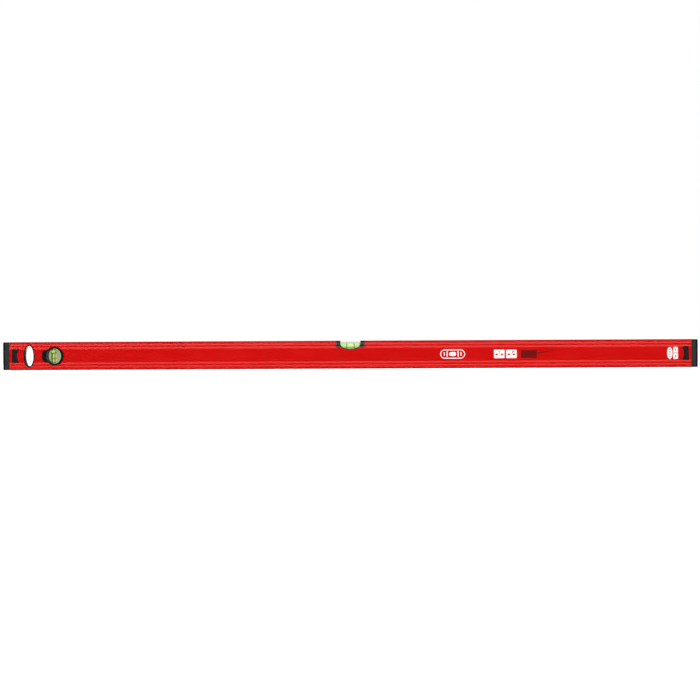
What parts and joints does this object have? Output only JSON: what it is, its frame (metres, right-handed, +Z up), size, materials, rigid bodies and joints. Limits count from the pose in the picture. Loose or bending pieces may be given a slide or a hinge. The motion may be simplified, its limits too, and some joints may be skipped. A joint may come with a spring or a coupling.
{
  "type": "spirit level",
  "caption": "Long box-section spirit level with a centre vial, a plumb vial, a hanging hole and pull-off end caps.",
  "frame": {"origin": "middle of the bottom measuring face", "axes": "+X along the level towards the end away from the plumb vial, front face looks to -Y, +Z up from the bottom measuring face to the top one"},
  "size_m": [1.2, 0.0212, 0.0485],
  "materials": {
    "red_coat": "smooth gloss powder coat on aluminium",
    "grey_plastic": "fine moulded grain",
    "black_plastic": "satin moulded",
    "soft_rubber": "matt soft elastomer",
    "clear_acrylic": "polished clear",
    "vial_liquid": "yellow-green fluorescent liquid",
    "bubble_air": "air bubble in liquid",
    "ring_black": "black reading ring"
  },
  "bodies": {
    "frame": {"profile": "red_coat", "hang_liner_front": "black_plastic", "hang_liner_back": "black_plastic", "plumb_bezel_front": "black_plastic", "plumb_bezel_back": "black_plastic", "plumb_vial_block": "clear_acrylic", "plumb_plug": "clear_acrylic", "plumb_ring_upper": "ring_black", "plumb_ring_lower": "ring_black", "plumb_fluid": "vial_liquid", "level_housing": "black_plastic", "level_vial_block": "clear_acrylic", "level_plug": "clear_acrylic", "level_ring_left": "ring_black", "level_ring_right": "ring_black", "level_fluid": "vial_liquid"},
    "left_cap": {"left_cap_body": "grey_plastic", "left_cap_bumper": "soft_rubber"},
    "right_cap": {"right_cap_body": "grey_plastic", "right_cap_bumper": "soft_rubber"},
    "left_latch_front": {"left_latch_front": "black_plastic"},
    "left_latch_back": {"left_latch_back": "black_plastic"},
    "right_latch_front": {"right_latch_front": "black_plastic"},
    "right_latch_back": {"right_latch_back": "black_plastic"},
    "level_bubble": {"level_bubble": "bubble_air"},
    "plumb_bubble": {"plumb_bubble": "bubble_air"}
  },
  "joints": [
    {"name": "level_bubble_travel", "type": "slide", "parent": "frame", "child": "level_bubble", "axis": [1, 0, 0], "range_m": [-0.0087, 0.0087], "stiffness_N_per_m": 0.5, "deforming": ["level_fluid"]},
    {"name": "plumb_bubble_travel", "type": "slide", "parent": "frame", "child": "plumb_bubble", "axis": [0, 0, 1], "range_m": [-0.0136, 0], "stiffness_N_per_m": 5, "springref_m": 0.01, "deforming": ["plumb_fluid"]},
    {"name": "left_cap_pull", "type": "slide", "parent": "frame", "child": "left_cap", "axis": [-1, 0, 0], "range_m": [0, 0.028], "deforming": ["left_latch_front", "left_latch_back"]},
    {"name": "right_cap_pull", "type": "slide", "parent": "frame", "child": "right_cap", "axis": [1, 0, 0], "range_m": [0, 0.028], "deforming": ["right_latch_front", "right_latch_back"]},
    {"name": "left_latch_front_press", "type": "hinge", "parent": "left_cap", "child": "left_latch_front", "pos_m": [-0.5648, -0.0064, 0.02425], "axis": [0, 0, -1], "range_deg": [0, 4.5], "stiffness_Nm_per_rad": 2},
    {"name": "left_latch_back_press", "type": "hinge", "parent": "left_cap", "child": "left_latch_back", "pos_m": [-0.5648, 0.0064, 0.02425], "axis": [0, 0, 1], "range_deg": [0, 4.5], "stiffness_Nm_per_rad": 2},
    {"name": "right_latch_front_press", "type": "hinge", "parent": "right_cap", "child": "right_latch_front", "pos_m": [0.5648, -0.0064, 0.02425], "axis": [0, 0, 1], "range_deg": [0, 4.5], "stiffness_Nm_per_rad": 2},
    {"name": "right_latch_back_press", "type": "hinge", "parent": "right_cap", "child": "right_latch_back", "pos_m": [0.5648, 0.0064, 0.02425], "axis": [0, 0, -1], "range_deg": [0, 4.5], "stiffness_Nm_per_rad": 2}
  ]
}
